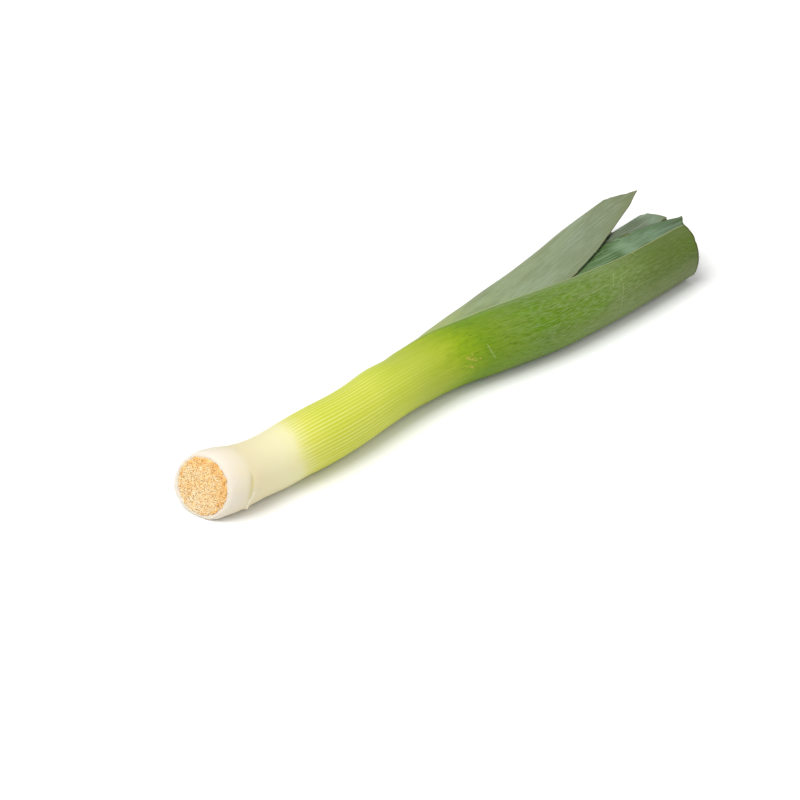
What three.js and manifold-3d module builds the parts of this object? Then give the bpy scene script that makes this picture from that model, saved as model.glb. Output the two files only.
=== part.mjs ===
// A trimmed leek lying on its side, in millimetres, +Z up.
// X runs along the leek, from the cut root plate at -X to the cut leaf tips at +X.
// Leaves alternate: odd ones have their keel on the -Y side, even ones on the +Y side, and each is folded
// into a lying U that holds every later leaf. A later leaf slides between the arms of the earlier ones.

import * as THREE from "three";
import { mergeVertices } from "three/addons/utils/BufferGeometryUtils.js";
import Module from "manifold-3d";

const wasm = await Module();
wasm.setup();

// Driving dimensions. Every station is a distance from the root end of the bulb.
const BULB_RADIUS = 18.4;
const SHAFT_RADIUS = 16.8;
const NECK_RADIUS = 15.6; // where the leaves part
const MOUTH_FLOOR = 108; // the shaft is solid up to here
const LEAF_START = 109;
const SLIT_START = 128; // the outer sheath is closed up to here
const OUTER_THICKNESS = 1.3;
const LEAF_THICKNESS = 1.0;
const LEAF_GAP = 0.65; // between one leaf's inner face and the next leaf's outer face

// The station and the drift that come to lie at X = 0, Y = 0
const MIDDLE_OF_BOX = new THREE.Vector2(205.66, 22.97);

// Root plate, and the stubs of trimmed root that stand on it
const PLATE_RADIUS = 15.4;
const PLATE_DEPTH = 3.2;
const PLATE_DOME = 1.8;
const PLATE_CLEARANCE = 0.4;
const PLATE_RINGS = [5, 10, 13.5, PLATE_RADIUS];
const ROOT_COUNT = 56;
const ROOT_RADIUS = 1.15;
const ROOT_TAPER = 0.8;
const ROOT_LENGTH = 3.4;
const ROOT_SINK = 2.0;
const ROOT_SIDES = 5;
const ROOT_SPLAY = 0.35; // lean outwards at the rim, in radians
const ROOT_SCATTER = { turn: 0.5, length: 0.5, lean: 0.25 };
const ROOT_SEED = 11;

// The root cut leans: its face is turned a little towards -Y and up.
const CUT_LEAN = { lateral: -0.22, vertical: 0.26, fadesBy: 34 };

// Lateral drift and height of the leek's middle line
const DRIFT = [
  [0, 0], [20, -4.3], [50, -5], [80, -4.6], [110, -2.4], [150, 2], [185, 4.5], [300, 2], [420, 0],
];
const AXIS_HEIGHT = [
  [0, 17.5], [14, 17.3], [60, 17.3], [150, 17.3], [215, 17.6], [260, 17.2], [320, 16.7], [420, 16.2],
];

// Grid sizes: faces round the shaft and across a leaf, and the spacing of their rows of points
const AROUND = 24;
const ACROSS = 14;
const BULB_ROWS = [0, 0.7, 2.5, 6, 10, 14, 19, 26, 35];
const SHAFT_ROWS = { start: 50, step: 20 };
const SLIT_ROWS = [132, 137, 143, 151];
const OUTER_ROWS = { start: 160, step: 15, turn: 50 };
const LEAF_ROWS = { step: 17, turn: 70 };

const clamp = (value, low, high) => Math.min(Math.max(value, low), high);
const mix = (a, b, share) => a + (b - a) * share;

function eased(from, to, x) {
  const share = clamp((x - from) / (to - from), 0, 1);
  return share * share * (3 - 2 * share);
}

// A smooth curve through [station, value] points, level beyond both ends
function through(points, x) {
  const last = points.length - 1;
  if (x <= points[0][0]) return points[0][1];
  if (x >= points[last][0]) return points[last][1];
  let i = 0;
  while (points[i + 1][0] < x) i += 1;
  const slope = (k) => {
    const a = points[Math.max(k - 1, 0)];
    const b = points[Math.min(k + 1, last)];
    return (b[1] - a[1]) / (b[0] - a[0]);
  };
  const [x0, v0] = points[i];
  const [x1, v1] = points[i + 1];
  const span = x1 - x0;
  const t = (x - x0) / span;
  const bend = 2 * (v0 - v1) + span * (slope(i) + slope(i + 1));
  const rise = 3 * (v1 - v0) - span * (2 * slope(i) + slope(i + 1));
  return v0 + span * slope(i) * t + rise * t * t + bend * t * t * t;
}

// The shaft's radius: a bulb with a rounded shoulder, then a slightly waisted stem
const SHAFT_PROFILE = [
  [0, 16.9], [0.7, 17.7], [2.5, 18.2], [7, BULB_RADIUS], [12, 18.1], [20, 16.9],
  [32, 15.8], [45, 15.9], [70, 17], [95, SHAFT_RADIUS], [SLIT_START, NECK_RADIUS],
];

// Half the height of the folded leaves, and how far a leaf's arms would run before they closed. All leaves
// share both, so that they slide past each other with even gaps.
const RISE = [...SHAFT_PROFILE, [150, 15.5], [180, 16.9], [215, 17.6], [260, 17.2], [320, 16.7], [420, 16.2]];
const ARM = [...SHAFT_PROFILE, [140, 18], [150, 25], [165, 40], [185, 75], [210, 120]];

// A leaf's section at a station is a U on its side. keel is its depth on the folded side. top and bottom are
// how far its two margins reach past its middle. shift moves it sideways from the middle line, and drop lowers
// it. tip gives the stations of the cut end at the bottom margin, the keel and the top margin.
const LEAVES = [
  {
    name: "outer_leaf_and_shaft",
    side: -1,
    level: 0,
    start: 0,
    keel: [...SHAFT_PROFILE, [150, 16], [215, 16.4], [260, 16], [400, 15.4]],
    top: [
      [SLIT_START, 17], [139, 14.6], [152, 10.5], [183, 9.4], [218, 12.2], [248, 13.4], [291, 9.8], [339, 6],
      [394, 4],
    ],
    bottom: [[SLIT_START, 17], [139, 14.6], [152, 11], [175, 12.5], [230, 15], [400, 12]],
    shift: [[150, 0], [183, -1.4], [212, -5.8], [250, -10.6], [285, -10.6], [335, -8.4], [384, -4]],
    drop: [[0, 0], [400, 0]],
    tip: { bottom: 381, keel: 384, top: 394, power: 1.5 },
  },
  {
    name: "leaf_2",
    side: 1,
    level: 1,
    start: LEAF_START,
    keel: [[SLIT_START, NECK_RADIUS], [170, 16], [220, 15.5], [274, 14.5], [334, 12], [390, 10]],
    top: [
      [112, 7], [150, 6], [180, 9], [200, 15], [220, 21], [255, 29], [298, 29.5], [326, 27.5], [366, 22], [395, 17],
      [418, 8],
    ],
    bottom: [[112, 7], [150, 6], [180, 9], [220, 18], [255, 22], [418, 14]],
    shift: [
      [140, 0], [152, 1.2], [162, 4], [178, 7.2], [218, 15], [242, 21], [274, 28.8], [306, 38], [334, 47], [387, 63],
      [420, 70],
    ],
    drop: [[335, 0], [390, -1.9], [420, -2]],
    tip: { bottom: 378, keel: 380, top: 418, power: 4.5 },
  },
  {
    name: "leaf_3",
    side: -1,
    level: 2,
    start: LEAF_START,
    keel: [[SLIT_START, NECK_RADIUS], [215, 16.4], [260, 16], [400, 15.4]],
    top: [[112, 7], [150, 5], [180, 8], [200, 14], [250, 24], [300, 26], [376, 27], [394, 20], [406, 16]],
    bottom: [[112, 7], [150, 5], [180, 8], [220, 16], [400, 16]],
    shift: [[150, 0], [183, -1.2], [212, -5.2], [250, -9.8], [285, -9.8], [335, -7.6], [384, -3.4]],
    drop: [[0, 0], [400, 0]],
    tip: { bottom: 376, keel: 379, top: 406, power: 3 },
  },
  {
    name: "leaf_4",
    side: 1,
    level: 3,
    start: LEAF_START,
    keel: [[SLIT_START, NECK_RADIUS], [170, 16], [220, 15.5], [274, 14.5], [390, 13]],
    top: [[112, 6], [150, 4], [180, 7], [200, 11.5], [220, 16], [300, 22], [366, 20], [385, 17], [404, 11.5]],
    bottom: [[112, 6], [150, 4], [180, 7], [200, 11.5], [220, 15], [404, 14]],
    shift: [[130, 0], [150, 2.4], [178, 5], [218, 10], [274, 17], [320, 23], [366, 30], [404, 36]],
    drop: [[0, 0], [400, 0]],
    tip: { bottom: 366, keel: 370, top: 404, power: 2.6 },
  },
  {
    name: "leaf_5",
    side: -1,
    level: 4,
    start: LEAF_START,
    keel: [[SLIT_START, NECK_RADIUS], [215, 16.4], [260, 16], [400, 15.4]],
    top: [[112, 5], [150, 3], [180, 6], [200, 10], [250, 17], [320, 23], [380, 27], [407, 28]],
    bottom: [[112, 5], [150, 3], [180, 6], [200, 10], [250, 15], [390, 12]],
    shift: [[150, 0], [183, -1], [212, -4.6], [250, -8.6], [285, -8.2], [335, -5.6], [384, -1.4]],
    drop: [[0, 0], [400, 0]],
    tip: { bottom: 374, keel: 376, top: 406, power: 4 },
  },
];

// How far a level's outer face lies inside the outer leaf's
function levelInset(level) {
  return level === 0 ? 0 : OUTER_THICKNESS + LEAF_GAP + (level - 1) * (LEAF_THICKNESS + LEAF_GAP);
}

// Takes a point of the straight leek to where it lies
function placed(station, lateral, vertical) {
  const lean = 1 - eased(0, CUT_LEAN.fadesBy, station);
  const x = station + lean * (CUT_LEAN.lateral * lateral + CUT_LEAN.vertical * vertical);
  const y = lateral + through(DRIFT, station);
  const z = Math.max(vertical + through(AXIS_HEIGHT, station), 0);
  return [x - MIDDLE_OF_BOX.x, y - MIDDLE_OF_BOX.y, z];
}

// The angle, counted from the keel, at which a margin lies that reaches so far past the leaf's middle
function marginAngle(leaf, top, station, inset) {
  if (leaf.level === 0 && station <= SLIT_START) return Math.PI;
  const reach = through(top ? leaf.top : leaf.bottom, station);
  const arm = through(ARM, station) - inset;
  return Math.PI / 2 + Math.asin(clamp(reach / arm, 0, 1));
}

function sectionPoint(leaf, station, angle, inset) {
  const rise = through(RISE, station) - inset;
  const keel = through(leaf.keel, station) - inset;
  const arm = through(ARM, station) - inset;
  const reach = Math.cos(angle) > 0 ? keel : arm;
  const lateral = leaf.side * reach * Math.cos(angle) + through(leaf.shift, station);
  const vertical = rise * Math.sin(angle) + through(leaf.drop, station);
  return placed(station, lateral, vertical);
}

// Collects points and triangles of one closed body
class Body {
  positions = [];
  triangles = [];

  point([x, y, z]) {
    this.positions.push(x, y, z);
    return this.positions.length / 3 - 1;
  }

  triangle(a, b, c) {
    if (a !== b && b !== c && c !== a) this.triangles.push(a, b, c);
  }

  quad(a, b, c, d) {
    this.triangle(a, b, c);
    this.triangle(a, c, d);
  }

  fan(ring, centre) {
    for (let i = 0; i < ring.length - 1; i += 1) this.triangle(ring[i], ring[i + 1], centre);
  }

  geometry() {
    const geometry = new THREE.BufferGeometry();
    geometry.setAttribute("position", new THREE.Float32BufferAttribute(this.positions, 3));
    geometry.setIndex(this.volume() < 0 ? this.triangles.toReversed() : this.triangles);
    geometry.computeVertexNormals();
    return geometry;
  }

  volume() {
    const at = (i) => new THREE.Vector3().fromArray(this.positions, 3 * i);
    let sum = 0;
    for (let i = 0; i < this.triangles.length; i += 3) {
      const [a, b, c] = this.triangles.slice(i, i + 3).map(at);
      sum += a.dot(b.cross(c)) / 6;
    }
    return sum;
  }
}

// Stations from start to end, step apart or a little less
function stations(start, end, step) {
  const count = Math.ceil((end - start) / step);
  return Array.from({ length: count + 1 }, (_, i) => mix(start, end, i / count));
}

// The leaf's cut end: the station at which a line of the blade stops, by its share of the way from the bottom
// margin (-1) through the keel (0) to the top margin (1)
function cutStation(leaf, across) {
  const margin = across < 0 ? leaf.tip.bottom : leaf.tip.top;
  return mix(leaf.tip.keel, margin, Math.abs(across) ** leaf.tip.power);
}

// The last row of a leaf would stand here if the tip were cut square.
function leafEnd(leaf) {
  return Math.min(leaf.tip.bottom, leaf.tip.keel, leaf.tip.top);
}

// One row of points across a leaf. Over the last stretch, turn long, the rows turn to follow the cut.
function leafRow(body, leaf, station, inset, columns, turn) {
  const end = leafEnd(leaf);
  const row = [];
  for (let j = 0; j <= columns; j += 1) {
    const across = (2 * j) / columns - 1;
    const share = clamp(1 - (end - station) / turn, 0, 1);
    const here = station + share * (cutStation(leaf, across) - end);
    const angle = across * marginAngle(leaf, across > 0, here, inset);
    row.push(body.point(sectionPoint(leaf, here, angle, inset)));
  }
  return row;
}

function skin(body, rows, flipped) {
  for (let i = 0; i < rows.length - 1; i += 1) {
    for (let j = 0; j < rows[i].length - 1; j += 1) {
      const corners = [rows[i][j], rows[i][j + 1], rows[i + 1][j + 1], rows[i + 1][j]];
      if (flipped) body.quad(corners[0], corners[3], corners[2], corners[1]);
      else body.quad(...corners);
    }
  }
}

// A thin leaf: an outer and an inner face, joined along the base, the cut end and both margins
function leafBody(leaf) {
  const body = new Body();
  const inset = levelInset(leaf.level);
  const where = stations(leaf.start, leafEnd(leaf), LEAF_ROWS.step);
  const rowsAt = (depth) => where.map((x) => leafRow(body, leaf, x, depth, ACROSS, LEAF_ROWS.turn));
  const outer = rowsAt(inset);
  const inner = rowsAt(inset + LEAF_THICKNESS);
  skin(body, outer, false);
  skin(body, inner, true);
  for (let i = 0; i < where.length - 1; i += 1) {
    body.quad(outer[i][0], outer[i + 1][0], inner[i + 1][0], inner[i][0]);
    body.quad(outer[i][ACROSS], inner[i][ACROSS], inner[i + 1][ACROSS], outer[i + 1][ACROSS]);
  }
  const last = where.length - 1;
  for (let j = 0; j < ACROSS; j += 1) {
    body.quad(outer[0][j], inner[0][j], inner[0][j + 1], outer[0][j + 1]);
    body.quad(outer[last][j], outer[last][j + 1], inner[last][j + 1], inner[last][j]);
  }
  return body.geometry();
}

// The outer leaf grows on from the shaft. Its sheath is closed, and solid up to the mouth's floor, and then
// it splits down its far side into two margins.
function outerLeafBody(leaf) {
  const body = new Body();
  const closed = [...BULB_ROWS, ...stations(SHAFT_ROWS.start, MOUTH_FLOOR, SHAFT_ROWS.step), SLIT_START];
  const open = [...SLIT_ROWS, ...stations(OUTER_ROWS.start, leafEnd(leaf), OUTER_ROWS.step)];
  const ring = (x, inset) => {
    const row = leafRow(body, leaf, x, inset, AROUND, OUTER_ROWS.turn);
    if (x <= SLIT_START) row[AROUND] = row[0];
    return row;
  };
  const outer = [...closed, ...open].map((x) => ring(x, 0));
  const first = closed.indexOf(MOUTH_FLOOR);
  const slit = closed.length - 1;
  const inner = [...closed, ...open].slice(first).map((x) => ring(x, OUTER_THICKNESS));
  skin(body, outer, false);
  skin(body, inner, true);
  for (let i = slit; i < outer.length - 1; i += 1) {
    const k = i - first;
    body.quad(outer[i][0], outer[i + 1][0], inner[k + 1][0], inner[k][0]);
    body.quad(outer[i][AROUND], inner[k][AROUND], inner[k + 1][AROUND], outer[i + 1][AROUND]);
  }
  const last = outer.length - 1;
  for (let j = 0; j < AROUND; j += 1) {
    body.quad(outer[last][j], outer[last][j + 1], inner[last - first][j + 1], inner[last - first][j]);
  }
  // floor of the mouth, and the recess that holds the root plate
  body.fan(inner[0], body.point(placed(MOUTH_FLOOR, 0, 0)));
  const rim = PLATE_RADIUS + PLATE_CLEARANCE;
  const recess = [0, PLATE_DEPTH].map((depth) => circleRow(body, depth, rim));
  skin(body, [outer[0], recess[0], recess[1]], true);
  const middle = body.point(placed(PLATE_DEPTH, 0, 0));
  for (let j = 0; j < AROUND; j += 1) body.triangle(recess[1][j + 1], recess[1][j], middle);
  return body.geometry();
}

function circleRow(body, station, radius) {
  const row = [];
  for (let j = 0; j < AROUND; j += 1) {
    const angle = ((2 * j) / AROUND - 1) * Math.PI;
    row.push(body.point(placed(station, -radius * Math.cos(angle), radius * Math.sin(angle))));
  }
  return [...row, row[0]];
}

// A repeatable run of numbers between 0 and 1
function seededNumbers(seed) {
  let state = seed;
  return () => {
    state = (Math.imul(state, 1664525) + 1013904223) >>> 0;
    return state / 4294967296;
  };
}

function toManifold(geometry) {
  const bare = new THREE.BufferGeometry();
  bare.setAttribute("position", geometry.getAttribute("position").clone());
  if (geometry.index) bare.setIndex(geometry.index.clone());
  const merged = mergeVertices(bare, 1e-5);
  return new wasm.Manifold(new wasm.Mesh({
    numProp: 3,
    vertProperties: new Float32Array(merged.getAttribute("position").array),
    triVerts: new Uint32Array(merged.index.array),
  }));
}

function fromManifold(solid) {
  const mesh = solid.getMesh();
  const geometry = new THREE.BufferGeometry();
  geometry.setAttribute("position", new THREE.BufferAttribute(new Float32Array(mesh.vertProperties), 3));
  geometry.setIndex(new THREE.BufferAttribute(new Uint32Array(mesh.triVerts), 1));
  geometry.computeVertexNormals();
  return geometry;
}

// The plate is a shallow dome whose centre is a little proud of the bulb's rim.
function plateFace(radius) {
  const share = radius / PLATE_RADIUS;
  return -PLATE_DOME * (1 - share * share);
}

function plateBody() {
  const body = new Body();
  const rows = PLATE_RINGS.map((radius) => circleRow(body, plateFace(radius), radius));
  const back = PLATE_DEPTH - PLATE_CLEARANCE;
  rows.push(circleRow(body, back, PLATE_RADIUS));
  const front = body.point(placed(plateFace(0), 0, 0));
  const middle = body.point(placed(back, 0, 0));
  skin(body, rows, false);
  for (let j = 0; j < AROUND; j += 1) {
    body.triangle(rows[0][j + 1], rows[0][j], front);
    body.triangle(rows.at(-1)[j], rows.at(-1)[j + 1], middle);
  }
  return body.geometry();
}

// Trimmed roots stand on the plate in a sunflower's spiral, each leaning outwards and cut at its own length.
function rootPlate() {
  const draw = seededNumbers(ROOT_SEED);
  const golden = Math.PI * (3 - Math.sqrt(5));
  const spread = PLATE_RADIUS - 1.4 * ROOT_RADIUS;
  let solid = toManifold(plateBody());
  for (let i = 0; i < ROOT_COUNT; i += 1) {
    const radius = spread * Math.sqrt((i + 0.5) / ROOT_COUNT);
    const turn = i * golden + ROOT_SCATTER.turn * (draw() - 0.5);
    const length = ROOT_LENGTH * (1 + ROOT_SCATTER.length * (draw() - 0.5));
    const lean = ROOT_SPLAY * (radius / PLATE_RADIUS) + ROOT_SCATTER.lean * (draw() - 0.5);
    const stub = new THREE.CylinderGeometry(ROOT_RADIUS * ROOT_TAPER, ROOT_RADIUS, length, ROOT_SIDES);
    const [x, y, z] = placed(plateFace(radius), radius * Math.cos(turn), radius * Math.sin(turn));
    stub.translate(0, length / 2 - ROOT_SINK, 0);
    stub.rotateZ(Math.PI / 2);
    stub.rotateY(-lean * Math.sin(turn));
    stub.rotateZ(-lean * Math.cos(turn));
    stub.translate(x, y, z);
    solid = solid.add(toManifold(stub));
  }
  return fromManifold(solid);
}

const MATERIALS = {
  plate: { color: 0xe6c48a, roughness: 0.9, metalness: 0 },
  shaft: { color: 0xa9c46a, roughness: 0.45, metalness: 0 },
  outer: { color: 0x8fa083, roughness: 0.5, metalness: 0 },
  inner: { color: 0x6f9480, roughness: 0.5, metalness: 0 },
};

function named(name, geometry, look) {
  const material = new THREE.MeshStandardMaterial({ ...MATERIALS[look], flatShading: true });
  const mesh = new THREE.Mesh(geometry, material);
  mesh.name = name;
  return mesh;
}

const [outerLeaf, ...laterLeaves] = LEAVES;
const leek = new THREE.Group();
leek.add(named("root_plate", rootPlate(), "plate"));
leek.add(named(outerLeaf.name, outerLeafBody(outerLeaf), "shaft"));
for (const leaf of laterLeaves) {
  leek.add(named(leaf.name, leafBody(leaf), leaf.level === 1 ? "outer" : "inner"));
}

export default leek;
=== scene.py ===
"""A trimmed leek on its side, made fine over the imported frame. Lengths are in millimetres until placed."""
import math

import bmesh
import bpy
import numpy as np
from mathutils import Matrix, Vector


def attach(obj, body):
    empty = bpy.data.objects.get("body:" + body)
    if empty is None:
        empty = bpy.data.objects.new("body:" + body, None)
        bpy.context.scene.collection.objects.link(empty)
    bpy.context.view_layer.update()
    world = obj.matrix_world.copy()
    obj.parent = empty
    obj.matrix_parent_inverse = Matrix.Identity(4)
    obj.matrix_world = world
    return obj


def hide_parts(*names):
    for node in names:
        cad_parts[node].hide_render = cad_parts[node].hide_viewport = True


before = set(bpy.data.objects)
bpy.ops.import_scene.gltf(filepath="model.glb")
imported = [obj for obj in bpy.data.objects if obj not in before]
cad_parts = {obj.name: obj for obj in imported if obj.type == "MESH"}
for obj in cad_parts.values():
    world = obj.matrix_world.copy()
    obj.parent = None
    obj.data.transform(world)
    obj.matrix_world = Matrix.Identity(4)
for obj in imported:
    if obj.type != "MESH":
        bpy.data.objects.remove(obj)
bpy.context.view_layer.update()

MM = 0.001

# Stands for the way to a margin or a cut where there is none near
FAR = 50.0

# ---- camera --------------------------------------------------------------------------------------

# The aim and the distance are in metres, in the frame.
CAMERA_AZIMUTH = math.radians(-43.5)
CAMERA_ELEVATION = math.radians(32)
CAMERA_DISTANCE = 1.090
CAMERA_LENS = 85
CAMERA_AIM = Vector((-0.0535, -0.0119, 0.0))


def away_from_aim(azimuth, elevation):
    """The direction from the aim to something seen at that azimuth and elevation."""
    flat = math.cos(elevation)
    return Vector((math.sin(azimuth) * flat, -math.cos(azimuth) * flat, math.sin(elevation)))


def make_camera():
    """Makes the camera and the view that shows colours as they are set."""
    back = away_from_aim(CAMERA_AZIMUTH, CAMERA_ELEVATION)
    data = bpy.data.cameras.new("camera")
    data.lens = CAMERA_LENS
    camera = bpy.data.objects.new("camera", data)
    camera.location = CAMERA_AIM + back * CAMERA_DISTANCE
    camera.rotation_euler = back.to_track_quat("Z", "Y").to_euler()
    bpy.context.scene.collection.objects.link(camera)
    bpy.context.scene.camera = camera
    bpy.context.scene.view_settings.view_transform = "Standard"


make_camera()

# ---- the leek's form -----------------------------------------------------------------------------
# Every station is a distance from the root end of the bulb.

BULB_RADIUS = 18.4
SHAFT_RADIUS = 16.8
NECK_RADIUS = 15.6

# The shaft is solid up to its mouth's floor, the inner leaves start above it, and then the sheath splits.
MOUTH_FLOOR = 108
LEAF_START = 109
SLIT_START = 128

# Walls, and the room between one leaf and the next
OUTER_THICKNESS = 1.3
LEAF_THICKNESS = 1.0
LEAF_GAP = 0.65

# The station and the sideways drift that lie at X = 0 and Y = 0 in the frame
MIDDLE_STATION = 205.66
MIDDLE_DRIFT = 22.97

# The root plate: a shallow dome that fills a recess in the foot of the bulb
PLATE_RADIUS = 15.4
PLATE_DEPTH = 3.2
PLATE_DOME = 1.8
PLATE_CLEARANCE = 0.4
RECESS_RADIUS = 15.8

# The root cut leans: its face is turned a little towards -Y and up.
CUT_LEAN = {"lateral": -0.22, "vertical": 0.26, "fades_by": 34}

# Sideways drift and height of the leek's middle line
DRIFT = [(0, 0), (20, -4.3), (50, -5), (80, -4.6), (110, -2.4), (150, 2), (185, 4.5), (300, 2), (420, 0)]
AXIS_HEIGHT = [
    (0, 17.5), (14, 17.25), (28, 16.8), (42, 16.4), (56, 17), (70, 17.3), (150, 17.3), (215, 17.6),
    (260, 17.2), (320, 16.7), (420, 16.2),
]

# The shaft's radius: a bulb with a rounded shoulder, then a slightly waisted stem
SHAFT_PROFILE = [
    (0, 16.9), (0.7, 17.7), (2.5, 18.2), (7, BULB_RADIUS), (12, 18.1), (20, 16.9),
    (32, 15.8), (45, 15.9), (70, 17), (95, SHAFT_RADIUS), (SLIT_START, NECK_RADIUS),
]

# Half the height of the folded leaves, and how far a leaf's arms would run before they closed
RISE = [*SHAFT_PROFILE, (150, 15.5), (180, 16.9), (215, 17.6), (260, 17.2), (320, 16.7), (420, 16.2)]
ARM = [*SHAFT_PROFILE, (140, 17), (150, 21), (165, 36), (185, 75), (210, 120)]

# What leaves share: the keel of those that fold on the outer leaf's side, and lying level all along
NEAR_KEEL = [(215, 16.4), (260, 16), (400, 15.4)]
NO_DROP = [(0, 0), (400, 0)]

# A leaf's section at a station is a U on its side. side is where its fold lies, 1 for +Y and -1 for -Y, and
# level counts the leaves inwards. keel is its depth on the folded side, and top and bottom are how far its
# two margins reach past its middle. shift moves it sideways from the middle line, and drop moves it up, or
# down where it is negative. cut gives the station of the cut end by the share of the way across, from the
# bottom margin (-1) through the keel (0) to the top margin (1). nicks are small steps in it, as (share
# across, width in shares, depth).
OUTER_LEAF = {
    "name": "outer_leaf_and_shaft",
    "side": -1,
    "level": 0,
    "start": 0,
    "keel": [*SHAFT_PROFILE, (150, 16), *NEAR_KEEL],
    "top": [
        (SLIT_START, 17), (139, 15.6), (152, 12.5), (165, 11), (178, 10.6), (190, 10.3), (205, 11.1),
        (218, 12.2), (248, 13.4), (291, 9.8), (339, 6.4), (394, 5.8),
    ],
    "bottom": [(SLIT_START, 17), (139, 14.6), (152, 11), (175, 12.5), (230, 15), (400, 12)],
    "shift": [(150, 0), (183, -1.4), (212, -5.8), (250, -10.6), (285, -10.6), (335, -8.4), (384, -4)],
    "drop": NO_DROP,
    "cut": [
        (-1, 384), (-0.55, 387.6), (-0.2, 385.2), (0.1, 385.5), (0.4, 386.7), (0.7, 389.2), (0.86, 390.5),
        (0.97, 392), (1, 394.6),
    ],
    "nicks": [(0.55, 0.10, 0.5), (-0.35, 0.16, 0.5)],
}
SECOND_LEAF = {
    "name": "leaf_2",
    "side": 1,
    "level": 1,
    "start": LEAF_START,
    "keel": [
        (SLIT_START, NECK_RADIUS), (170, 16), (220, 15.5), (274, 14.8), (305, 13.9), (334, 12.7), (360, 11.4),
        (381, 10.2), (390, 9.9),
    ],
    "top": [
        (112, 7), (150, 6), (180, 9), (200, 15), (220, 21), (255, 29), (280, 30.7), (300, 30.6), (317, 29.6),
        (332, 28.6), (352, 25.1), (365, 22.7), (380, 19.9), (397, 16.2), (407, 12.4), (418, 8.6),
    ],
    "bottom": [(112, 7), (150, 6), (180, 9), (220, 18), (255, 22), (418, 14)],
    "shift": [
        (140, 0), (152, 1.2), (162, 4), (178, 7.2), (218, 15), (242, 21), (274, 28.8), (306, 38), (334, 47),
        (387, 63), (420, 70),
    ],
    "drop": [(335, 0), (390, -1.9), (420, -2)],
    "cut": [
        (-1, 398), (-0.88, 401), (-0.7, 394), (-0.5, 387), (-0.25, 381.5), (0, 380), (0.4, 385), (0.6, 391.4),
        (0.8, 392), (0.9, 395), (0.95, 404.6), (1, 418.1),
    ],
    "nicks": [(0.7, 0.06, 0.5), (0.92, 0.02, 1.2), (0.965, 0.012, 1.0)],
}
THIRD_LEAF = {
    "name": "leaf_3",
    "side": -1,
    "level": 2,
    "start": LEAF_START,
    "keel": [(SLIT_START, NECK_RADIUS), *NEAR_KEEL],
    "top": [
        (112, 7), (150, 5), (180, 8), (200, 14), (250, 24), (300, 26), (345, 29), (362, 28), (379, 24.6),
        (397, 21.7), (406, 18.8),
    ],
    "bottom": [(112, 7), (150, 5), (180, 8), (220, 16), (400, 16)],
    "shift": [(150, 0), (183, -1.2), (212, -5.2), (250, -9.8), (285, -9.8), (335, -7.6), (384, -3.4)],
    "drop": NO_DROP,
    "cut": [(-1, 376), (0, 379), (0.5, 382), (0.8, 390), (0.9, 395.2), (0.955, 401.5), (1, 409)],
    "nicks": [(0.86, 0.04, 0.7)],
}
FOURTH_LEAF = {
    "name": "leaf_4",
    "side": 1,
    "level": 3,
    "start": LEAF_START,
    "keel": [(SLIT_START, NECK_RADIUS), (170, 16), (220, 15.5), (274, 14.5), (390, 13)],
    "top": [
        (112, 6), (150, 4), (180, 7), (200, 11.5), (220, 16), (300, 22), (366, 20), (385, 17), (396, 13.4),
        (404, 13.6),
    ],
    "bottom": [(112, 6), (150, 4), (180, 7), (200, 11.5), (220, 15), (404, 14)],
    "shift": [(130, 0), (150, 2.4), (178, 5), (218, 10), (274, 17), (320, 23), (366, 30), (404, 36)],
    "drop": NO_DROP,
    "cut": [
        (-1, 366), (0, 370), (0.3, 377), (0.5, 389), (0.58, 392.4), (0.7, 393.7), (0.85, 394.9),
        (0.93, 397.8), (0.96, 401), (0.98, 402.2), (1, 402.8),
    ],
    "nicks": [(0.84, 0.05, 0.6)],
}
FIFTH_LEAF = {
    "name": "leaf_5",
    "side": -1,
    "level": 4,
    "start": LEAF_START,
    "keel": [(SLIT_START, NECK_RADIUS), *NEAR_KEEL],
    "top": [(112, 5), (150, 3), (180, 6), (200, 10), (250, 17), (320, 23), (380, 27), (407, 28)],
    "bottom": [(112, 5), (150, 3), (180, 6), (200, 10), (250, 15), (390, 12)],
    "shift": [(150, 0), (183, -1), (212, -4.6), (250, -8.6), (285, -8.2), (335, -5.6), (384, -1.4)],
    "drop": NO_DROP,
    "cut": [(-1, 374), (0, 376), (0.5, 378), (0.8, 388), (0.93, 398), (1, 406)],
    "nicks": [(0.95, 0.04, 1.4)],
}

# Soft swellings of the whole stem, as (station, half length, degrees from -Y over the top, half width in
# degrees, height)
SWELLINGS = [(42, 17, -60, 45, 1.0), (126, 18, 130, 55, 2.8)]

# A leaf thins to its margin's wall over the taper.
MARGIN_WALL = 0.4
MARGIN_TAPER = 4.0

VEIN_SPACING = 2.05
RIB_HEIGHT = 0.06

# How far the knife's cut wavers, and the phase of its waves over half a blade
CUT_RAGGED = 0.25
CUT_WAVES = 61

# Short steps in which a way round the section is measured, from the keel and across a whole blade
KEEL_STEPS = 25
BLADE_STEPS = 401

# Slow dents and swellings of a leaf, as (phase per mm along it, size, phase round it), and how they wander
SWELL_WAVES = [(0.062, 1.0, 1.3), (0.134, 0.6, 2.1), (0.226, 0.4, 3.4)]
SWELL_WANDER = 1.5


def eased(start, end, x):
    """0 at start, 1 at end, and smooth in between."""
    share = np.clip((x - start) / (end - start), 0, 1)
    return share * share * (3 - 2 * share)


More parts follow.
